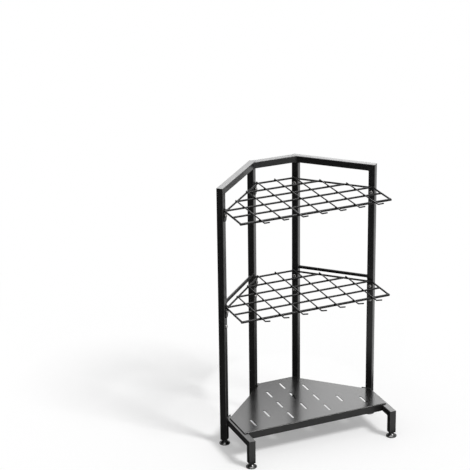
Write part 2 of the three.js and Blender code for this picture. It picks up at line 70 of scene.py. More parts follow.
# Weld beads of the frame: radii, and distances from the edges that they follow
FILLET_WELD, SEAM_WELD, RAIL_WELD, ARM_WELD, ROD_WELD = 3.2, 1.05, 1.9, 2.0, 1.3
WELD_OFF, ROD_WELD_OFF = 0.4, 0.3
SEAM_INSET, SEAM_END = 0.75, 4
RAIL_WELD_END = 3
ARM_WELD_SINK = 0.2
BEAD_SIDES = 8
BEAD_RIPPLE, BEAD_UNEVEN, NUB_UNEVEN = 0.09, 0.05, 0.06  # shares of the radius
BEAD_TIP, BEAD_TAPER = 0.15, 1.3  # in radii, from the end of a bead

# Wire shelves
SHELVES = {"lower": 532, "upper": 902}
SHELF_X = 292
SHELF_FRONT = 156
PITCH_DEEP = 71.4
CROSS_COUNT = 4
SHELF_REAR = (CROSS_COUNT + 1) * PITCH_DEEP - SHELF_FRONT
CROSS_RADIUS = 3.5
CROSS_SHORT = 1.2  # a cross wire's end stays this far from the middle of the rim's wire
FRONT_RADIUS = 4.5
FRONT_ROUND = 2.2
RIM_RADIUS = 3.5
WIRE_BEND = 12
TAB_WIDTH, TAB_THICK, TAB_DROP, TAB_BOLT = 22, 4, 42, 19.5
TAB_EDGE = 0.5
TAB_FACE = POST_FACE - TAB_THICK - SEAT  # y of the bolt heads on the tabs
RIM_SINK = 0.4  # how far the rim's wire is pressed into the tabs
RIM_OFFSET = SEAT + TAB_THICK + RIM_RADIUS - RIM_SINK
RIM_PLANE = INNER_PLANE - RIM_OFFSET * math.sqrt(2)
HOOK_COUNT, HOOK_PITCH, HOOK_RADIUS = 7, 73.5, 2.5
HOOK_REACH, HOOK_LENGTH, HOOK_RISE = 41.5, 43.5, math.radians(23)
HOOK_OVERHANG = 2
HOOK_ROUND = 0.7
HOOK_HEIGHT = CROSS_RADIUS + HOOK_RADIUS + SEAT
TOUCH = CROSS_RADIUS + SEAT / 2  # height of the contact between cross and hook wires

# Nubs where wires are welded: half sizes across, deep and high, and how far they are moved
CROSS_END_NUB = (2.2, CROSS_RADIUS + 0.7, CROSS_RADIUS + 0.5)
CROSSING_NUB = (3.1, CROSS_RADIUS + 0.4, 1.4)
FRONT_NUB = (3.1, FRONT_RADIUS - 0.2, 1.5)
RIM_NUB = (3.1, RIM_RADIUS + 0.1, 1.5)
CORNER_NUB = (RIM_RADIUS + 0.7, 2.0, RIM_RADIUS + 0.6)
END_NUB_OUT, END_NUB_DOWN = 0.6, 0.2
CORNER_NUB_FORWARD, CORNER_NUB_DOWN = 0.4, 0.5
TAB_WELD, TAB_WELD_REACH, TAB_WELD_OFF, TAB_WELD_RISE = 1.25, 9, 0.5, 2.9

# Base plate
PLATE_TOP, PLATE_THICK = 94, 2.5
PLATE_X, PLATE_FRONT, PLATE_REAR = 288.7, 157.4, 200
PLATE_GAP = 11.5  # from the posts' inner faces to the plate's slanting edges
PLATE_PLANE = INNER_PLANE - PLATE_GAP * math.sqrt(2)
PLATE_RIM = ARM_TOP + SEAT
LIP_X, LIP_HEIGHT, LIP_CORNER = 271.5, 29, 3
PLATE_BEND = 3.2
SLOT_LENGTH, SLOT_WIDTH = 54, 8
SLOT_ACROSS, SLOT_DEEP = 75, 47
SLOT_ROWS = {0: (-1, 1, 3), 1: (-2, 0, 2), 2: (-1,), 3: (-2,)}  # column: rows
BRACKET_WIDTH, BRACKET_THICK, BRACKET_DROP, BRACKET_END = 20, 2, 24, 38
BRACKET_BEND, BRACKET_GAP = 3, 0.02
RIVET_FOOT, RIVET_RADIUS, RIVET_EDGE, RIVET_CROWN, RIVET_SIDES = 5, 4.9, 0.5, 1.5, 32

# Fasteners and feet
BOLT_SIDES = 48
BOLT_HEAD, BOLT_HEIGHT, BOLT_EDGE, BOLT_SIDE = 7, 4.4, 0.25, 0.9
BOLT_CROWN, BOLT_SHOULDER = 3.35, 1.1  # radius of the flat top, height where the crown starts
SOCKET, SOCKET_FLARE, SOCKET_BOTTOM = 5, 0.7, 1.5  # across the flats
SOCKET_DEPTH, SOCKET_EDGE, SOCKET_CONE = 2.6, 0.35, 0.5
SPLICE_BOLT = SEAM + 11
FOOT_SIDES = 64
FOOT_RADIUS, NECK_RADIUS, NECK_TOP = 20, 8.5, 15
TREADS = (5.2, 9.2, 13.2)  # inner radii of the rings that the pad stands on
TREAD_WIDTH, TREAD_HEIGHT, TREAD_SLOPE, TREAD_START = 3, 0.6, 0.4, 3
STUD_RADIUS, STUD_BOTTOM, STUD_TOP = 4, NECK_TOP - 1, 43
FOOT_PROFILE = [  # radius and height outside the treads
    (17.2, 0), (19, 0), (19.7, 0.35), (FOOT_RADIUS, 1.1),
    (FOOT_RADIUS, 2.9), (19.75, 3.6), (19.1, 4.1), (18.2, 4.5), (17, 5.2), (15.6, 6.2),
    (14.2, 7.5), (12.8, 8.8), (11.5, 10.1), (10.4, 11.2), (9.5, 12.1), (8.8, 12.9),
    (NECK_RADIUS, 13.6), (NECK_RADIUS, 14.2), (8.2, 14.8), (7.5, NECK_TOP),
    (STUD_RADIUS + 0.6, NECK_TOP), (STUD_RADIUS - 0.3, NECK_TOP - 0.4),
]
RUBBED_RADII = (FOOT_RADIUS, 19.75, 19.1, 8.2)  # where the foot's plastic is worn
STUD_SIDES = 20
TIP_LENGTH, TIP_TAPER = 1.2, 0.9
THREAD, THREAD_DEPTH, THREAD_FLANK, THREAD_ROWS = 1.25, 0.62, 2.4, 5

# Foremost point of the hooks, and the shift that brings the middle of the depth to y = 0
FRONT_EXTENT = (
    SHELF_FRONT + HOOK_REACH
    + HOOK_LENGTH * math.cos(HOOK_RISE) + HOOK_RADIUS * math.sin(HOOK_RISE)
)
SHIFT_Y = (FRONT_EXTENT - REAR_Y - FOOT_RADIUS) / 2

SIDES = {"left": -1, "right": 1}

# Studio: metres, degrees and watts
FLOOR_REACH = 40
FLOOR_GREY, CARD_GREY, DULL = 0.93, 0.02, 0.9
FLOOR_SHINE = 0.1
# Share of the floor's own white: centre, radii in metres, share inside and share outside
FLOOR_GLOW = (
    ((0, 0, 0), 0.45, 2.0, 0.3, 1.0),
    # painted pool of light: a glowing patch under the plate's rear that lightens the rack's shadow
    # where the slots look through to the floor
    ((0.1, 0.34, 0), 0.28, 0.38, 0.8, 0.0),
)
CARD_LEFT, CARD_LOW, CARD_TOP = -0.75, 0.003, 1.6
CARD_LYING = (
    (CARD_LEFT, -0.26), (0.6, -0.26), (0.6, 0.3), (1.4, 1.6), (1.4, 2.6), (CARD_LEFT, 2.6),
)
CARD_WALL = (-1.6, 0.9)
SUN_STRENGTH, SUN_WIDTH, SUN_FROM = 2.3, 14, (0.41, -0.68, 1.0)
PANELS = {  # place, size and power
    "top_panel": ((1.5, 2.85, 2.56), (2.6, 1.5), 46),
    "plate_panel": ((2.05, 2.45, 1.3), (1.6, 0.8), 13),
    "overhead_panel": ((0, -0.3, 3.4), (2.2, 2.2), 120),
}
PANEL_AIM = (0, 0, 0.5)
WORLD_LIGHT, WORLD_SEEN = 0.5, 1.0  # strength as a light, and as the background
CAMERA_PLACE = (-2.6955, -5.7267, 3.2406)
CAMERA_TILT, CAMERA_TURN = 21.2576, -25.1827
CAMERA_LENS, CAMERA_SENSOR, CAMERA_SHIFT = 144.05, 36, -0.13385
CAMERA_RANGE = (0.05, 200)


# Places: millimetres in the rack's or a side's own frame to metres in the shared frame

def rack(x, y, z):
    return Vector((x, y + SHIFT_Y, z + STAND)) * MM


def on_side(side, x, y, z):
    """The slanting frame of one side: x runs to the rear post and y points outward."""
    across = POST_X - (x - y) / math.sqrt(2)
    return rack(side * across, (x + y) / math.sqrt(2), z)


# Outlines

def quarter_arc(steps):
    """(cos, sin) at even steps from 0 to 90 degrees."""
    angles = [step / steps * math.pi / 2 for step in range(steps + 1)]
    return [(math.cos(angle), math.sin(angle)) for angle in angles]


def square_outline(side, corner):
    """(a, b, wear_and_highlight) round a square with rounded corners, 1 in a corner's middle:
    rubbed edges, and a painted highlight along the corners.
    """
    points = []
    inset = side / 2 - corner
    for quarter in range(4):
        start = quarter * math.pi / 2
        turn = Matrix.Rotation(start, 2)
        middle = turn @ Vector((inset, inset))
        for step in range(CORNER_STEPS + 1):
            angle = start + step / CORNER_STEPS * math.pi / 2
            a = middle.x + corner * math.cos(angle)
            b = middle.y + corner * math.sin(angle)
            points.append((a, b, math.sin(math.pi * step / CORNER_STEPS)))
        face = turn @ Vector((0, side / 2))
        points.append((face.x, face.y, 0.0))
    return points


def circle(radius, sides):
    turns = [2 * math.pi * k / sides for k in range(sides)]
    return [(radius * math.cos(turn), radius * math.sin(turn)) for turn in turns]


def hexagon(flats, sides):
    """A hexagon on evenly spaced spokes, so that it joins up with a circle."""
    points = []
    for k in range(sides):
        angle = 2 * math.pi * k / sides
        spoke = flats / 2 / math.cos(angle % (math.pi / 3) - math.pi / 6)
        points.append((spoke * math.cos(angle), spoke * math.sin(angle)))
    return points


def inset_outline(points, distance):
    """Moves a closed counter-clockwise outline inward."""
    moved = []
    count = len(points)
    for k, point in enumerate(points):
        here = Vector(point)
        into = (here - Vector(points[k - 1])).normalized()
        out = (Vector(points[(k + 1) % count]) - here).normalized()
        first, second = Vector((-into.y, into.x)), Vector((-out.y, out.x))
        middle = (first + second).normalized()
        moved.append(tuple(here + middle * (distance / max(middle.dot(first), 0.3))))
    return moved


def tongue(half_width, low, high, steps=12, round_top=False):
    """Straight sides from low to high, round at the low end and round or square above."""
    points = []
    for step in range(steps + 1):
        angle = math.pi * (1 + step / steps)
        points.append((half_width * math.cos(angle), low + half_width * math.sin(angle)))
    if not round_top:
        return points + [(half_width, high), (-half_width, high)]
    for step in range(steps + 1):
        angle = math.pi * step / steps
        points.append((half_width * math.cos(angle), high + half_width * math.sin(angle)))
    return points


# Mesh building: a part is a bmesh with a wear_and_highlight value on each vertex, which lightens
# rubbed edges, and on the tube corners also paints a highlight

def new_part():
    part = bmesh.new()
    part.verts.layers.float.new("wear_and_highlight")
    return part


def add_ring(part, points, wear_and_highlight=0.0):
    """New vertices with one wear_and_highlight value, or a list of them."""
    layer = part.verts.layers.float["wear_and_highlight"]
    ring = []
    for k, point in enumerate(points):
        vert = part.verts.new(point)
        vert[layer] = wear_and_highlight[k] if isinstance(wear_and_highlight, list) else wear_and_highlight
        ring.append(vert)
    return ring


def join_rings(part, rings, closed=False, material=0):
    """Faces between rings of as many points, with both ends capped if they don't close."""
    count = len(rings[0])
    faces = []
    for low, high in zip(rings, rings[1:] + rings[:1] if closed else rings[1:]):
        for k in range(count):
            after = (k + 1) % count
            faces.append(part.faces.new((low[k], low[after], high[after], high[k])))
    if not closed:
        faces += [part.faces.new(rings[0]), part.faces.new(rings[-1])]
    for face in faces:
        face.material_index = material


def finish_part(name, part, materials, replaced=(), body="rack", bevel=0.0, sheet=0.0):
    """Turns a part into an object that rides on a body and stands for the replaced nodes.

    sheet gives an open surface its thickness, laid on below it, and bevel rounds sharp edges.
    """
    bmesh.ops.recalc_face_normals(part, faces=part.faces)
    if sheet and max(part.faces, key=lambda face: face.calc_center_median().z).normal.z < 0:
        bmesh.ops.reverse_faces(part, faces=part.faces)
    for face in part.faces:
        face.smooth = True
    mesh = bpy.data.meshes.new(name)
    part.to_mesh(mesh)
    part.free()
    mesh.set_sharp_from_angle(angle=math.radians(SHARP_ANGLE))
    for material in materials:
        mesh.materials.append(material)
    piece = bpy.data.objects.new(name, mesh)
    bpy.context.scene.collection.objects.link(piece)
    if sheet:
        solidify = piece.modifiers.new("thickness", "SOLIDIFY")
        solidify.thickness = sheet * MM
        solidify.offset = -1
        solidify.use_even_offset = True
    if bevel:
        rounding = piece.modifiers.new("edges", "BEVEL")
        rounding.width = bevel * MM
        rounding.segments = 2
        rounding.limit_method = "ANGLE"
        rounding.angle_limit = math.radians(BEVEL_ANGLE)
    weighted = piece.modifiers.new("normals", "WEIGHTED_NORMAL")
    weighted.keep_sharp = True
    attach(piece, body)
    if replaced:
        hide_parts(*replaced)


def no_slope(a, b):
    return 0.0


def add_tube(part, place, start, end, lips, slopes=(no_slope, no_slope)):
    """A square tube. place(a, b, s) gives its points, slopes slant its ends, lips chamfer them."""
    # corner values: rubbed edges, and a painted highlight along the rounded corners
    wear_and_highlight = [corner for _, _, corner in square_outline(TUBE, CORNER)]
    stations = [
        (start, slopes[0], lips[0]), (start + lips[0], slopes[0], 0),
        (end - lips[1], slopes[1], 0), (end, slopes[1], lips[1]),
    ]
    rings = []
    for along, slope, inset in stations:
        shape = square_outline(TUBE - 2 * inset, CORNER - inset)
        points = [place(a, b, along + slope(a, b)) for a, b, _ in shape]
        rings.append(add_ring(part, points, [1.0] * len(wear_and_highlight) if inset else wear_and_highlight))
    join_rings(part, rings)


def bent_path(corners, radius, steps=9):
    """Corner points with each inner corner rounded by an arc."""
    corners = [Vector(corner) for corner in corners]
    path = [corners[0]]
    for before, here, after in zip(corners, corners[1:], corners[2:]):
        into, out = (here - before).normalized(), (after - here).normalized()
        turn = into.angle(out)
        axis = into.cross(out).normalized()
        start = here - into * (radius * math.tan(turn / 2))
        centre = start + axis.cross(into) * radius
        for step in range(steps + 1):
            spin = Matrix.Rotation(turn * step / steps, 3, axis)
            path.append(centre + spin @ (start - centre))
    path.append(corners[-1])
    return path


def path_frames(path, closed=False):
    """A tangent and two cross directions at each point of a path, without twist."""
    frames = []
    across = None
    for k, point in enumerate(path):
        before = path[k - 1] if k or closed else point
        after = path[(k + 1) % len(path)] if k + 1 < len(path) or closed else point
        tangent = (after - before).normalized()
        if across is None:
            seed = Vector((0, 0, 1)) if abs(tangent.z) < 0.9 else Vector((1, 0, 0))
            across = tangent.cross(seed)
        across = (across - tangent * across.dot(tangent)).normalized()
        frames.append((tangent, across, tangent.cross(across)))
    return frames


def add_wire(part, place, corners, radius, bend=0.0, sides=20, end_round=0.9):
    """A round wire along corner points, with the edges of its cut ends rounded."""
    path = bent_path(corners, bend) if bend else [Vector(corner) for corner in corners]
    frames = path_frames(path)
    ends = []
    for index, sign in ((0, 1), (-1, -1)):
        rows = []
        for step, (cos, sin) in enumerate(quarter_arc(3)):
            size = radius - end_round * (1 - sin)
            centre = path[index] + frames[index][0] * (sign * end_round * (1 - cos))
            rows.append((centre, frames[index], size, 1 - step / 3))
        ends.append(rows)
    middle = [(path[k], frames[k], radius, 0.0) for k in range(1, len(path) - 1)]
    rings = []
    for centre, (_, across, up), size, wear_and_highlight in ends[0] + middle + ends[1][::-1]:
        points = [place(*(centre + across * a + up * b)) for a, b in circle(size, sides)]
        rings.append(add_ring(part, points, wear_and_highlight))
    join_rings(part, rings)


def resample(path, spacing, closed=False):
    """Points at even distances along a path."""
    points = [Vector(point) for point in path]
    if closed:
        points.append(points[0].copy())
    marks = [0.0]
    for before, after in zip(points, points[1:]):
        marks.append(marks[-1] + (after - before).length)
    count = max(round(marks[-1] / spacing), 3)
    spaced = []
    index = 0
    for step in range(count if closed else count + 1):
        along = marks[-1] * step / count
        while index < len(points) - 2 and marks[index + 1] < along:
            index += 1
        share = (along - marks[index]) / max(marks[index + 1] - marks[index], 1e-9)
        spaced.append(points[index].lerp(points[index + 1], min(share, 1.0)))
    return spaced


def add_bead(part, place, path, radius, seed, closed=False, ripple=2.4):
    """A weld bead: a rippled ridge, half sunk into the pieces that it joins."""
    spacing = ripple / 4
    spaced = resample(path, spacing, closed)
    frames = path_frames(spaced, closed)
    dice = random.Random(seed)
    swell = [dice.uniform(-1, 1) for _ in spaced]
    rings = []
    for k, (point, (_, across, up)) in enumerate(zip(spaced, frames)):
        wave = math.cos(k * math.pi / 2)
        size = radius * (1 + BEAD_RIPPLE * wave + BEAD_UNEVEN * swell[k // 4])
        if not closed:
            from_end = min(k, len(spaced) - 1 - k) * spacing
            rise = (from_end + BEAD_TIP * radius) / (BEAD_TAPER * radius)
            size *= math.sqrt(min(rise, 1.0))
        points = [place(*(point + across * a + up * b)) for a, b in circle(size, BEAD_SIDES)]
        rings.append(add_ring(part, points, wear_and_highlight=0.15))
    join_rings(part, rings, closed)


def add_nub(part, place, centre, radii, seed):
    """The squeezed metal where two wires are welded across each other."""
    dice = random.Random(seed)
    made = bmesh.ops.create_icosphere(part, subdivisions=2, radius=1)
    for vert in made["verts"]:
        swell = 1 + dice.uniform(-NUB_UNEVEN, NUB_UNEVEN)
        offset = [part_of * size * swell for part_of, size in zip(vert.co, radii)]
        vert.co = place(*(c + o for c, o in zip(centre, offset)))


def add_turned(part, place, rows, sides):
    """Rings of (outline, height, wear_and_highlight) round the z axis of place."""
    rings = []
    for outline, height, wear_and_highlight in rows:
        shape = circle(outline, sides) if isinstance(outline, (int, float)) else outline
        rings.append(add_ring(part, [place(x, y, height) for x, y in shape], wear_and_highlight))
    join_rings(part, rings)


# Materials

class Finish:
    """A material whose nodes are added and linked one by one."""

    def __init__(self, name, **constants):
        self.material = bpy.data.materials.new(name)
        self.material.use_nodes = True
        self.tree = self.material.node_tree
        self.shader = self.tree.nodes["Principled BSDF"]
        for socket, value in constants.items():
            self.shader.inputs[socket.replace("_", " ")].default_value = value
        self.place = self.add("TexCoord").outputs["Object"]

    def add(self, kind, inputs=None, **settings):
        made = self.tree.nodes.new("ShaderNode" + kind)
        for name, value in settings.items():
            setattr(made, name, value)
        for name, value in (inputs or {}).items():
            self.feed(made.inputs[name], value)
        return made

    def feed(self, socket, value):
        if isinstance(value, bpy.types.NodeSocket):
            self.tree.links.new(value, socket)
        else:
            socket.default_value = value

    def noise(self, scale, detail=2.0, stretch=(1, 1, 1), roughness=0.5):
        place = self.add("Mapping", {"Vector": self.place, "Scale": stretch})
        inputs = {"Vector": place.outputs[0], "Scale": scale, "Detail": detail}
        inputs["Roughness"] = roughness
        return self.add("TexNoise", inputs).outputs["Fac"]

    def math(self, operation, first, second):
        return self.add("Math", {0: first, 1: second}, operation=operation).outputs[0]

    def spread(self, value, low, high, to_low, to_high):
        inputs = {"Value": value, "From Min": low, "From Max": high}
        inputs.update({"To Min": to_low, "To Max": to_high})
        return self.add("MapRange", inputs).outputs[0]

    def mix(self, share, first, second):
        made = self.add("Mix", data_type="RGBA")
        sockets = [s for s in made.inputs if s.enabled]
        for socket, value in zip(sockets, (share, first, second)):
            self.feed(socket, value)
        return [s for s in made.outputs if s.enabled][0]

    def wear_and_highlight(self, amount):
        """Lighter edges: the mesh's wear_and_highlight value, broken up by noise. These are rubbed
        edges, and on the tube corners also a painted highlight.
        """
        value = self.add("Attribute", attribute_name="wear_and_highlight").outputs["Fac"]
        patchy = self.spread(self.noise(55, 4.0), 0.35, 0.7, 0.25, 1.0)
        return self.math("MULTIPLY", self.math("MULTIPLY", value, patchy), amount)

    def bump(self, layers):
        """Stacks bumps of (height, strength, distance in millimetres)."""
        normal = None
        for height, strength, distance in layers:
            inputs = {"Height": height, "Strength": strength, "Distance": distance * MM}
            if normal:
                inputs["Normal"] = normal
            normal = self.add("Bump", inputs).outputs[0]
        self.feed(self.shader.inputs["Normal"], normal)

    def finish(self, colour, roughness):
        self.feed(self.shader.inputs["Base Color"], colour)
        self.feed(self.shader.inputs["Roughness"], roughness)
        return self.material


def grey(value, warmth=0.0):
    return (value * (1 + warmth), value, value * (1 - warmth), 1.0)


def coated(name, dark, light, worn_and_highlight, gloss, uneven, shine, peel, peel_height):
    """Black stoved coating: cloudy depth, fine speckle, orange peel and lighter edges, from a
    thinner coat and, on the tube corners, a painted highlight.

    dark, light and worn_and_highlight are greys, gloss and uneven set the roughness and its
    spread, and peel is the scale of the orange peel, peel_height its height in millimetres.
    """
    coat = Finish(name, Specular_IOR_Level=shine)
    cloud = coat.spread(coat.noise(7, 3.0), 0.35, 0.65, 0.0, 1.0)
    speck = coat.spread(coat.noise(1500, 2.0), 0.4, 0.75, 0.0, 1.0)
    dust = coat.spread(coat.noise(38, 6.0, roughness=0.65), 0.52, 0.8, 0.0, 0.25)
    base = coat.mix(cloud, grey(dark), grey(light, 0.02))
    base = coat.mix(coat.math("MULTIPLY", speck, 0.35), base, grey(light * 1.5))
    base = coat.mix(dust, base, grey(light * 1.6, 0.04))
    # lighter edges: rubbed coat, and on the tube corners a painted highlight
    edges = coat.wear_and_highlight(0.75)
    base = coat.mix(edges, base, grey(worn_and_highlight, 0.02))
    rough = coat.spread(coat.noise(16, 4.0), 0.3, 0.7, gloss - uneven, gloss + uneven)
    rough = coat.math("ADD", rough, coat.math("MULTIPLY", speck, 0.04))
    rough = coat.math("SUBTRACT", rough, coat.math("MULTIPLY", edges, 0.06))
    coat.bump([
        (coat.noise(90, 2.0), 0.12, uneven * 8),
        (coat.noise(peel, 2.0), 0.35, peel_height),
    ])
    return coat.finish(base, rough)


def bolt_steel():
    steel = Finish("bolt_steel", Metallic=0.9)
    cloud = steel.spread(steel.noise(260, 3.0), 0.35, 0.65, 0.0, 1.0)
    base = steel.mix(cloud, grey(0.16, 0.02), grey(0.27, 0.03))
    stain = steel.spread(steel.noise(700, 5.0), 0.5, 0.75, 0.0, 0.6)
    base = steel.mix(stain, base, grey(0.09, 0.05))
    base = steel.mix(steel.wear_and_highlight(0.8), base, grey(0.55, 0.01))
    rough = steel.spread(steel.noise(420, 4.0), 0.3, 0.7, 0.24, 0.42)
    steel.bump([(steel.noise(1400, 3.0), 0.25, 0.05)])
    return steel.finish(base, rough)


def foot_plastic():
    plastic = Finish("foot_plastic", Specular_IOR_Level=0.55)
    cloud = plastic.spread(plastic.noise(120, 3.0), 0.35, 0.65, 0.0, 1.0)
    base = plastic.mix(cloud, grey(0.007), grey(0.013))
    scuff = plastic.spread(plastic.noise(300, 5.0, (1, 1, 0.25)), 0.55, 0.8, 0.0, 0.5)
    base = plastic.mix(scuff, base, grey(0.03, 0.03))
    base = plastic.mix(plastic.wear_and_highlight(0.5), base, grey(0.05, 0.02))
    rough = plastic.spread(plastic.noise(180, 4.0), 0.3, 0.7, 0.12, 0.2)
    rough = plastic.math("ADD", rough, plastic.math("MULTIPLY", scuff, 0.2))
    plastic.bump([(plastic.noise(1100, 2.0), 0.2, 0.04)])
    return plastic.finish(base, rough)


def stud_zinc():
    zinc = Finish("stud_zinc", Metallic=1.0)
    cloud = zinc.spread(zinc.noise(500, 4.0), 0.35, 0.65, 0.0, 1.0)
    base = zinc.mix(cloud, grey(0.42, 0.02), grey(0.6, 0.015))
    base = zinc.mix(zinc.wear_and_highlight(0.6), base, grey(0.78))
    rough = zinc.spread(zinc.noise(900, 3.0), 0.3, 0.7, 0.25, 0.42)
    zinc.bump([(zinc.noise(1600, 2.0), 0.2, 0.04)])
    return zinc.finish(base, rough)


# The worn_and_highlight grey of 0.07 lightens the rounded tube corners: partly rubbed coat, partly
# a painted highlight along them.
TUBE_COAT = coated(
    "tube_coat", dark=0.006, light=0.009, worn_and_highlight=0.07, gloss=0.28, uneven=0.012, shine=0.42,
    peel=620, peel_height=0.014,
)
WIRE_COAT = coated(
    "wire_coat", dark=0.003, light=0.005, worn_and_highlight=0.02, gloss=0.26, uneven=0.012, shine=0.12,
    peel=800, peel_height=0.014,
)
PLATE_COAT = coated(
    "plate_coat", dark=0.006, light=0.009, worn_and_highlight=0.04, gloss=0.2, uneven=0.006, shine=0.28,
    peel=560, peel_height=0.015,
)
BOLT_STEEL = bolt_steel()
FOOT_PLASTIC = foot_plastic()
STUD_ZINC = stud_zinc()


# Frame tubes

def posts_of(side_name):
    """(label, x in the slanting frame) of the two posts on a side."""
    return (side_name, 0), (f"rear_{side_name}", SPAN)


def finish_tube(node, part):
    finish_part(f"{node}_tube", part, [TUBE_COAT], [node])


def build_posts(side_name, side):
    for label, x in posts_of(side_name):
        place = lambda a, b, s: on_side(side, x + a, b, s)
        lean = 1 if x else -1
        slopes = (no_slope, lambda a, b: lean * a)

        part = new_part()
        add_tube(part, place, 0, SEAM - SEAT / 2, (FOOT_LIP, SEAM_LIP))
        finish_tube(f"lower_post_{label}", part)

        part = new_part()
        add_tube(part, place, SEAM + SEAT / 2, POST_TOP - HALF, (SEAM_LIP, MITRE_LIP), slopes)
        finish_tube(f"upper_post_{label}", part)


def build_top_rail(side_name, side):
    gap = SEAT * math.sqrt(2)
    part = new_part()
    add_tube(
        part, lambda a, b, s: on_side(side, s, b, POST_TOP - HALF + a), gap, SPAN - gap,
        (MITRE_LIP, MITRE_LIP), (lambda a, b: -a, lambda a, b: a),
    )
    finish_tube(f"top_rail_{side_name}", part)


def build_rear_rail():
    part = new_part()
    add_tube(
        part, lambda a, b, s: rack(s, REAR_Y + a, POST_TOP - HALF + b), -RAIL_END, RAIL_END,
        (RAIL_LIP, RAIL_LIP), (lambda a, b: -abs(a), lambda a, b: abs(a)),
    )
    finish_tube("top_rail_rear", part)


def build_base_arm(side_name, side):
    part = new_part()
    add_tube(
        part, lambda a, b, s: rack(side * (LEG_X - a), s, ARM_MIDDLE + b), LEG_Y, ARM_REAR,
        (ARM_LIP, RAIL_LIP), (lambda a, b: -b, lambda a, b: a),
    )
    add_tube(
        part, lambda a, b, s: rack(side * (LEG_X - a), LEG_Y + b, s), 0, ARM_MIDDLE,
        (FOOT_LIP, ARM_LIP), (no_slope, lambda a, b: -b),
    )
    finish_tube(f"base_arm_{side_name}", part)


def build_mid_rail(side_name, side):
    part = new_part()
    start = HALF + SEAT
    y = MID_RAIL_RADIUS - HALF
    place = lambda *point: on_side(side, *point)
    ends = [(start, y, MID_RAIL), (SPAN - start, y, MID_RAIL)]
    add_wire(part, place, ends, MID_RAIL_RADIUS, sides=ROD_SIDES, end_round=MID_RAIL_ROUND)
    node = f"mid_rail_{side_name}"
    finish_part(f"{node}_rod", part, [WIRE_COAT], [node])


def build_frame_welds(side_name, side):
    """Beads at the mitred corners, the rear rail, the base arm and the mid rail."""
    part = new_part()
    slanting = lambda *point: on_side(side, *point)
    mirrored = lambda x, y, z: rack(side * x, y, z)
    reach = HALF - CORNER
    low = POST_TOP - TUBE

    for x, inward in ((0, 1), (SPAN, -1)):
        corner = x + inward * HALF
        fillet = [(corner + inward * WELD_OFF, y, low - WELD_OFF) for y in (-reach, reach)]
        add_bead(part, slanting, fillet, FILLET_WELD, seed=1)
        for sign in (-1, 1):
            y = sign * (HALF - SEAM_INSET)
            seam = [(corner, y, low), (x - inward * (HALF - SEAM_END), y, POST_TOP - SEAM_END)]
            add_bead(part, slanting, seam, SEAM_WELD, seed=2)

    near, far = REAR_Y - HALF, REAR_Y + HALF
    around = [
        (RAIL_END + HALF, near, POST_TOP - RAIL_WELD_END), (RAIL_END + HALF, near, low),
        (RAIL_END, REAR_Y, low),
        (RAIL_END + HALF, far, low), (RAIL_END + HALF, far, POST_TOP - RAIL_WELD_END),
    ]
    add_bead(part, mirrored, around, RAIL_WELD, seed=3)

    ring = [
        (LEG_X - a, ARM_REAR + a - ARM_WELD_SINK, ARM_MIDDLE + b)
        for a, b, _ in square_outline(TUBE, CORNER)
    ]
    add_bead(part, mirrored, ring, ARM_WELD, seed=4, closed=True)
    low = ARM_TOP - TUBE
    fillet = [(LEG_X + x, LEG_Y + HALF + WELD_OFF, low - WELD_OFF) for x in (-reach, reach)]
    add_bead(part, mirrored, fillet, FILLET_WELD, seed=5)
    for sign in (-1, 1):
        x = LEG_X + sign * (HALF - SEAM_INSET)
        seam = [(x, LEG_Y + HALF, low), (x, LEG_Y - HALF + SEAM_END, ARM_TOP - SEAM_END)]
        add_bead(part, mirrored, seam, SEAM_WELD, seed=6)

    for x in (HALF + WELD_OFF, SPAN - HALF - WELD_OFF):
        ring = [
            (x, MID_RAIL_RADIUS - HALF + a, MID_RAIL + b)
            for a, b in circle(MID_RAIL_RADIUS + ROD_WELD_OFF, ROD_SIDES)
        ]
        add_bead(part, slanting, ring, ROD_WELD, seed=7, closed=True)
    finish_part(f"frame_welds_{side_name}", part, [TUBE_COAT])


# Wire shelves

def shelf_rim(place, height):
    """The bent rim wire, with a mounting tab at each post."""
    part = new_part()
    z = CROSS_RADIUS - RIM_RADIUS
    left = [
        (-SHELF_X, FRONT_RADIUS - SHELF_FRONT, z),
        (-SHELF_X, RIM_PLANE - SHELF_X, z),
        (SHELF_REAR - RIM_PLANE, SHELF_REAR, z),
    ]
    right = [(-x, y, z) for x, y, z in reversed(left)]
    add_wire(part, place, left + right, RIM_RADIUS, WIRE_BEND, sides=ROD_SIDES)
    outline = tongue(TAB_WIDTH / 2, TAB_WIDTH / 2 - TAB_DROP, CROSS_RADIUS)
    layers = (0, TAB_EDGE), (TAB_EDGE, 0), (TAB_THICK - TAB_EDGE, 0), (TAB_THICK, TAB_EDGE)
    for side in SIDES.values():
        for x in (0, SPAN):
            rings = []
            for depth, inset in layers:
                shape = inset_outline(outline, inset)
                points = [on_side(side, x + a, POST_FACE - depth, height + b) for a, b in shape]
                rings.append(add_ring(part, points, 0.9 if inset else 0.5))
            join_rings(part, rings)
    return part


def front_wire(place):
    part = new_part()
    half = SHELF_X + RIM_RADIUS
    ends = [(x, -SHELF_FRONT, CROSS_RADIUS - FRONT_RADIUS) for x in (-half, half)]
    add_wire(part, place, ends, FRONT_RADIUS, sides=ROD_SIDES, end_round=FRONT_ROUND)
    return part


def cross_wire(place, welds, k, hooks):
    """A cross wire, welded to the rim at its ends and to the hook wires above it."""
    part = new_part()
    y = (k + 1) * PITCH_DEEP - SHELF_FRONT
    half = min(SHELF_X, RIM_PLANE - y) - CROSS_SHORT
    add_wire(part, place, [(-half, y, 0), (half, y, 0)], CROSS_RADIUS)
    for sign in (-1, 1):
        end = sign * (half - RIM_RADIUS + END_NUB_OUT)
        add_nub(welds, place, (end, y, -END_NUB_DOWN), CROSS_END_NUB, seed=k + 20)
    for x in hooks:
        if abs(x) < half - RIM_RADIUS:
            add_nub(welds, place, (x, y, TOUCH), CROSSING_NUB, seed=k + 30)
    return part


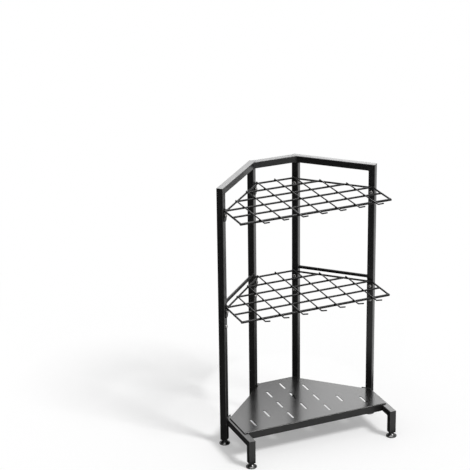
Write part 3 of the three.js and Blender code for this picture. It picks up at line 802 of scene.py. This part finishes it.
def hook_wire(place, welds, k, x):
    """A wire along the depth, turned up in front, welded to the front wire and the rim."""
    part = new_part()
    rim_y = min(SHELF_REAR, RIM_PLANE - abs(x))
    bend_y = -SHELF_FRONT - HOOK_REACH
    tip_y = bend_y - HOOK_LENGTH * math.cos(HOOK_RISE)
    tip_z = HOOK_HEIGHT + HOOK_LENGTH * math.sin(HOOK_RISE)
    corners = [
        (x, rim_y + HOOK_OVERHANG, HOOK_HEIGHT), (x, bend_y, HOOK_HEIGHT), (x, tip_y, tip_z),
    ]
    add_wire(part, place, corners, HOOK_RADIUS, WIRE_BEND, end_round=HOOK_ROUND)
    add_nub(welds, place, (x, -SHELF_FRONT, TOUCH), FRONT_NUB, seed=k + 40)
    add_nub(welds, place, (x, rim_y, TOUCH), RIM_NUB, seed=k + 50)
    return part


def add_rim_welds(place, welds, height):
    """Nubs where the rim meets the front wire, and beads above and below it on the tabs."""
    y = POST_FACE - TAB_THICK - TAB_WELD_OFF
    for side in SIDES.values():
        corner_y = FRONT_RADIUS - SHELF_FRONT - CORNER_NUB_FORWARD
        corner = (side * SHELF_X, corner_y, -CORNER_NUB_DOWN)
        add_nub(welds, place, corner, CORNER_NUB, seed=60)
        slanting = lambda x, y, z: on_side(side, x, y, height + z)
        for x in (0, SPAN):
            for sign in (-1, 1):
                z = CROSS_RADIUS - RIM_RADIUS + sign * TAB_WELD_RISE
                line = [(x + end * TAB_WELD_REACH, y, z) for end in (-1, 1)]
                add_bead(welds, slanting, line, TAB_WELD, seed=70 + sign, ripple=2.0)


def build_shelf(level, height):
    place = lambda x, y, z: rack(x, y, height + z)
    welds = new_part()
    hooks = [(k - (HOOK_COUNT - 1) / 2) * HOOK_PITCH for k in range(HOOK_COUNT)]
    pieces = {"rim": shelf_rim(place, height), "front_wire": front_wire(place)}
    for k in range(CROSS_COUNT):
        pieces[f"cross_wire_{k + 1}"] = cross_wire(place, welds, k, hooks)
    for k, x in enumerate(hooks):
        pieces[f"hook_wire_{k + 1}"] = hook_wire(place, welds, k, x)
    add_rim_welds(place, welds, height)
    for name, part in pieces.items():
        node = f"{level}_shelf_{name}"
        finish_part(f"{node}_steel", part, [WIRE_COAT], [node])
    finish_part(f"{level}_shelf_welds", welds, [WIRE_COAT])


# Base plate

def plate_outline(inset):
    """The plate's outline; its second and third points bound the front lip."""
    half = PLATE_X - inset
    slant = PLATE_PLANE - inset * math.sqrt(2)
    front, rear = inset - PLATE_FRONT, PLATE_REAR - inset
    return [
        (-half, front), (-LIP_X, front), (LIP_X, front), (half, front), (half, slant - half),
        (slant - rear, rear), (rear - slant, rear), (-half, slant - half),
    ]


def plate_lip():
    """(x, z) down the left of the front lip, with rounded lower corners, and up its right."""
    low = PLATE_TOP - LIP_HEIGHT
    right = [
        (LIP_X - LIP_CORNER * (1 - cos), low + LIP_CORNER * (1 - sin))
        for cos, sin in quarter_arc(4)
    ]
    return [(-x, z) for x, z in right] + right[::-1]


def slot_places():
    for across, rows in SLOT_ROWS.items():
        for sign in (-1, 1) if across else (1,):
            for row in rows:
                yield sign * across * SLOT_ACROSS, row * SLOT_DEEP


def build_plate():
    """The upper face of a folded sheet: rings down its bent edge, the lip and the slotted top."""
    part = new_part()
    rings = []
    for cos, sin in quarter_arc(6):
        z = PLATE_TOP - PLATE_BEND * (1 - cos)
        points = [rack(x, y, z) for x, y in plate_outline(PLATE_BEND * (1 - sin))]
        rings.append(add_ring(part, points, 1.6 * sin * cos))
    rings.append(add_ring(part, [rack(x, y, PLATE_RIM) for x, y in plate_outline(0)], 0.2))
    for high, low in zip(rings, rings[1:]):
        for k in range(len(high)):
            after = (k + 1) % len(high)
            part.faces.new((high[k], low[k], low[after], high[after]))

    lip = add_ring(part, [rack(x, -PLATE_FRONT, z) for x, z in plate_lip()], 0.3)
    part.faces.new([rings[-1][1]] + lip + [rings[-1][2]])

    loop = rings[0]
    edges = [part.edges.get((loop[k - 1], loop[k])) for k in range(len(loop))]
    half = SLOT_WIDTH / 2
    low, high = (SLOT_WIDTH - SLOT_LENGTH) / 2, (SLOT_LENGTH - SLOT_WIDTH) / 2
    outline = tongue(half, low, high, steps=8, round_top=True)
    for x, y in slot_places():
        slot = add_ring(part, [rack(x + a, y + b, PLATE_TOP) for a, b in outline], 0.1)
        edges += [part.edges.new((slot[k - 1], slot[k])) for k in range(len(slot))]
    bmesh.ops.triangle_fill(part, use_beauty=True, use_dissolve=False, edges=edges)
    finish_part(
        "base_plate_sheet", part, [PLATE_COAT], ["base_plate"],
        bevel=0.12, sheet=PLATE_THICK,
    )


def bracket_outline(under):
    """(y, z) round a strap that is bent down from the plate's underside along a post."""
    bend_y, bend_z = POST_FACE - BRACKET_BEND, under - BRACKET_BEND
    low = under - BRACKET_DROP
    inner = BRACKET_BEND - BRACKET_THICK
    points = [(-BRACKET_END, under - BRACKET_THICK)]
    for cos, sin in quarter_arc(4)[::-1]:
        points.append((bend_y + inner * cos, bend_z + inner * sin))
    points += [(POST_FACE - BRACKET_THICK, low), (POST_FACE, low)]
    for cos, sin in quarter_arc(4):
        points.append((bend_y + BRACKET_BEND * cos, bend_z + BRACKET_BEND * sin))
    return points + [(-BRACKET_END, under)]


def build_plate_brackets():
    """Bent straps under the plate's slanting edges, riveted to the rear posts."""
    under = PLATE_TOP - PLATE_THICK
    rivet_z = under - BRACKET_DROP / 2
    rows = [(RIVET_FOOT, 0, 0.3), (RIVET_RADIUS, RIVET_EDGE, 0.4)]
    for cos, sin in quarter_arc(5)[1:-1]:
        rows.append((RIVET_RADIUS * cos, RIVET_EDGE + RIVET_CROWN * sin, 0.4))
    part = new_part()
    for side in SIDES.values():
        rings = []
        for x in (-BRACKET_WIDTH / 2, BRACKET_WIDTH / 2):
            outline = bracket_outline(under)
            points = [on_side(side, SPAN + x, y, z - BRACKET_GAP) for y, z in outline]
            rings.append(add_ring(part, points, 0.4))
        join_rings(part, rings)
        rivet = lambda x, y, z: on_side(
            side, SPAN + x, POST_FACE - BRACKET_THICK - z, rivet_z + y,
        )
        add_turned(part, rivet, rows, RIVET_SIDES)
    finish_part(
        "base_plate_brackets", part, [PLATE_COAT], ["base_plate"], bevel=0.3,
    )


# Fasteners and feet

def build_bolt(name, side, x, face, height, turn):
    """A button head with a hexagon socket, turned about its axis."""
    rows = [
        (BOLT_HEAD - BOLT_EDGE, 0, 0.3),
        (BOLT_HEAD, BOLT_EDGE, 0.6),
        (BOLT_HEAD, BOLT_SIDE, 0.5),
    ]
    for cos, sin in quarter_arc(8):
        radius = BOLT_CROWN + (BOLT_HEAD - BOLT_CROWN) * cos
        rows.append((radius, BOLT_SHOULDER + (BOLT_HEIGHT - BOLT_SHOULDER) * sin, 0.25))
    rows += [
        (hexagon(SOCKET + SOCKET_FLARE, BOLT_SIDES), BOLT_HEIGHT, 0.8),
        (hexagon(SOCKET, BOLT_SIDES), BOLT_HEIGHT - SOCKET_EDGE, 0.9),
        (hexagon(SOCKET, BOLT_SIDES), BOLT_HEIGHT - SOCKET_DEPTH, 0.0),
        (hexagon(SOCKET_BOTTOM, BOLT_SIDES), BOLT_HEIGHT - SOCKET_DEPTH - SOCKET_CONE, 0.0),
    ]

    def place(a, b, h):
        along = x + a * math.cos(turn) - b * math.sin(turn)
        up = height + a * math.sin(turn) + b * math.cos(turn)
        return on_side(side, along, face - h, up)

    part = new_part()
    add_turned(part, place, rows, BOLT_SIDES)
    finish_part(f"{name}_head", part, [BOLT_STEEL], [name])


def build_bolts():
    dice = random.Random(4)
    turn = lambda: dice.uniform(0, math.pi / 3)
    for side_name, side in SIDES.items():
        for label, x in posts_of(side_name):
            build_bolt(f"splice_bolt_{label}", side, x, POST_FACE, SPLICE_BOLT, turn())
            for level, height in SHELVES.items():
                name = f"{level}_shelf_bolt_{label}"
                build_bolt(name, side, x, TAB_FACE, height - TAB_BOLT, turn())


def add_thread(part, place, low, high):
    """A screwed stud: rings whose radius follows a helix, with a tapered tip."""
    rows = math.ceil((high - low) / THREAD * THREAD_ROWS)
    rings = []
    for row in range(rows + 1):
        z = low + (high - low) * row / rows
        tip = max(0.0, 1 - (high - z) / TIP_LENGTH)
        points = []
        wear_and_highlight = []
        for k, (x, y) in enumerate(circle(1, STUD_SIDES)):
            phase = (z / THREAD - k / STUD_SIDES) % 1
            crest = min(1.0, THREAD_FLANK * abs(phase - 0.5))
            radius = STUD_RADIUS - THREAD_DEPTH * (1 - crest) - TIP_TAPER * tip
            points.append(place(x * radius, y * radius, z))
            wear_and_highlight.append(crest ** 3)
        rings.append(add_ring(part, points, wear_and_highlight))
    join_rings(part, rings, material=1)


def build_foot(name, floor):
    """A pad of plastic on a screwed stud, above a point of the floor."""
    profile = [(TREAD_START, TREAD_HEIGHT)]
    for tread in TREADS:
        profile += [
            (tread, TREAD_HEIGHT), (tread + TREAD_SLOPE, 0),
            (tread + (TREAD_WIDTH - TREAD_SLOPE), 0), (tread + TREAD_WIDTH, TREAD_HEIGHT),
        ]
    profile += FOOT_PROFILE
    rows = [(radius, z, 0.8 if radius in RUBBED_RADII else 0.1) for radius, z in profile]
    place = lambda x, y, z: floor + Vector((x, y, z)) * MM
    part = new_part()
    add_turned(part, place, rows, FOOT_SIDES)
    add_thread(part, place, STUD_BOTTOM, STUD_TOP)
    finish_part(
        f"{name}_pad", part, [FOOT_PLASTIC, STUD_ZINC], [name],
        body=f"levelling_{name}",
    )


def build_feet():
    for side_name, side in SIDES.items():
        for label, x in posts_of(side_name):
            build_foot(f"foot_{label}", on_side(side, x, 0, -STAND))
        build_foot(f"foot_front_{side_name}", rack(side * LEG_X, LEG_Y, -STAND))


# Studio

def background_share(tree):
    """1 for the rays that show the white background: camera, glossy and transmission."""
    path = tree.nodes.new("ShaderNodeLightPath")
    seen = path.outputs["Is Camera Ray"]
    for other in ("Is Glossy Ray", "Is Transmission Ray"):
        either = tree.nodes.new("ShaderNodeMath")
        either.operation = "MAXIMUM"
        tree.links.new(seen, either.inputs[0])
        tree.links.new(path.outputs[other], either.inputs[1])
        seen = either.outputs[0]
    return seen


def studio_sheet(name, faces, material):
    """Flat faces, each given by its corners."""
    part = new_part()
    for corners in faces:
        part.faces.new(add_ring(part, [Vector(corner) for corner in corners]))
    mesh = bpy.data.meshes.new(name)
    part.to_mesh(mesh)
    part.free()
    mesh.materials.append(material)
    sheet = bpy.data.objects.new(name, mesh)
    bpy.context.scene.collection.objects.link(sheet)
    return sheet


def floor_white():
    """Plain white, mixed with a white glow in the shares that FLOOR_GLOW gives; under the plate's
    rear the glow is a painted pool of light that lightens the rack's shadow.
    """
    white = Finish("floor_white", Specular_IOR_Level=FLOOR_SHINE)
    shares = []
    for centre, near, far, near_share, far_share in FLOOR_GLOW:
        away = white.add("VectorMath", {0: white.place, 1: centre}, operation="DISTANCE")
        inputs = {"Value": away.outputs["Value"], "From Min": near, "From Max": far}
        inputs.update({"To Min": near_share, "To Max": far_share})
        share = white.add("MapRange", inputs, interpolation_type="SMOOTHSTEP")
        shares.append(share.outputs[0])
    larger = white.math("MAXIMUM", *shares)
    both = white.math("MULTIPLY", larger, background_share(white.tree))
    glow = white.add("Emission").outputs[0]
    mix = white.add("MixShader", {0: both, 1: white.shader.outputs[0], 2: glow})
    white.feed(white.tree.nodes["Material Output"].inputs["Surface"], mix.outputs[0])
    return white.finish(grey(FLOOR_GREY), DULL)


def build_floor():
    reach = FLOOR_REACH
    corners = ((-reach, -reach, 0), (reach, -reach, 0), (reach, reach, 0), (-reach, reach, 0))
    floor = studio_sheet("floor", [corners], floor_white())


def build_dark_card():
    """A dark card, bent up on the left, that only reflections show: black faces read as black."""
    lying = [(x, y, CARD_LOW) for x, y in CARD_LYING]
    front, back = CARD_WALL
    wall = [
        (CARD_LEFT, front, CARD_LOW), (CARD_LEFT, back, CARD_LOW),
        (CARD_LEFT, back, CARD_TOP), (CARD_LEFT, front, CARD_TOP),
    ]
    black = Finish("card_black").finish(grey(CARD_GREY), DULL)
    card = studio_sheet("dark_card", [lying, wall], black)
    card.visible_camera = False
    card.visible_diffuse = False
    card.visible_shadow = False
    card.visible_transmission = False


def add_light(name, kind, energy, source):
    """A light whose rays come from the direction of source."""
    data = bpy.data.lights.new(name, kind)
    data.energy = energy
    light = bpy.data.objects.new(name, data)
    light.rotation_euler = Vector(source).to_track_quat("Z", "Y").to_euler()
    bpy.context.scene.collection.objects.link(light)
    return light


def build_lights():
    """A soft sun, three panels that only reflections show, and an even white world."""
    sun = add_light("key", "SUN", SUN_STRENGTH, SUN_FROM)
    sun.data.angle = math.radians(SUN_WIDTH)

    for name, (place, size, energy) in PANELS.items():
        panel = add_light(name, "AREA", energy, Vector(place) - Vector(PANEL_AIM))
        panel.data.shape = "RECTANGLE"
        panel.data.size, panel.data.size_y = size
        panel.location = place
        panel.visible_camera = False
        panel.visible_diffuse = False

    world = bpy.data.worlds.new("studio")
    bpy.context.scene.world = world
    world.use_nodes = True
    tree = world.node_tree
    background = tree.nodes["Background"]
    background.inputs["Color"].default_value = (1, 1, 1, 1)
    level = tree.nodes.new("ShaderNodeMapRange")
    level.inputs["To Min"].default_value = WORLD_LIGHT
    level.inputs["To Max"].default_value = WORLD_SEEN
    tree.links.new(background_share(tree), level.inputs["Value"])
    tree.links.new(level.outputs[0], background.inputs["Strength"])


def build_camera():
    data = bpy.data.cameras.new("camera")
    data.lens = CAMERA_LENS
    data.sensor_width = CAMERA_SENSOR
    data.shift_x = CAMERA_SHIFT
    data.clip_start, data.clip_end = CAMERA_RANGE
    camera = bpy.data.objects.new("camera", data)
    camera.location = CAMERA_PLACE
    camera.rotation_euler = (math.radians(90 - CAMERA_TILT), 0, math.radians(CAMERA_TURN))
    bpy.context.scene.collection.objects.link(camera)
    bpy.context.scene.camera = camera


build_camera()
build_floor()
build_dark_card()
build_lights()
for name, sign in SIDES.items():
    build_posts(name, sign)
    build_top_rail(name, sign)
    build_base_arm(name, sign)
    build_mid_rail(name, sign)
    build_frame_welds(name, sign)
build_rear_rail()
for name, plane in SHELVES.items():
    build_shelf(name, plane)
build_plate()
build_plate_brackets()
build_bolts()
build_feet()

bpy.context.scene.view_settings.view_transform = "Standard"
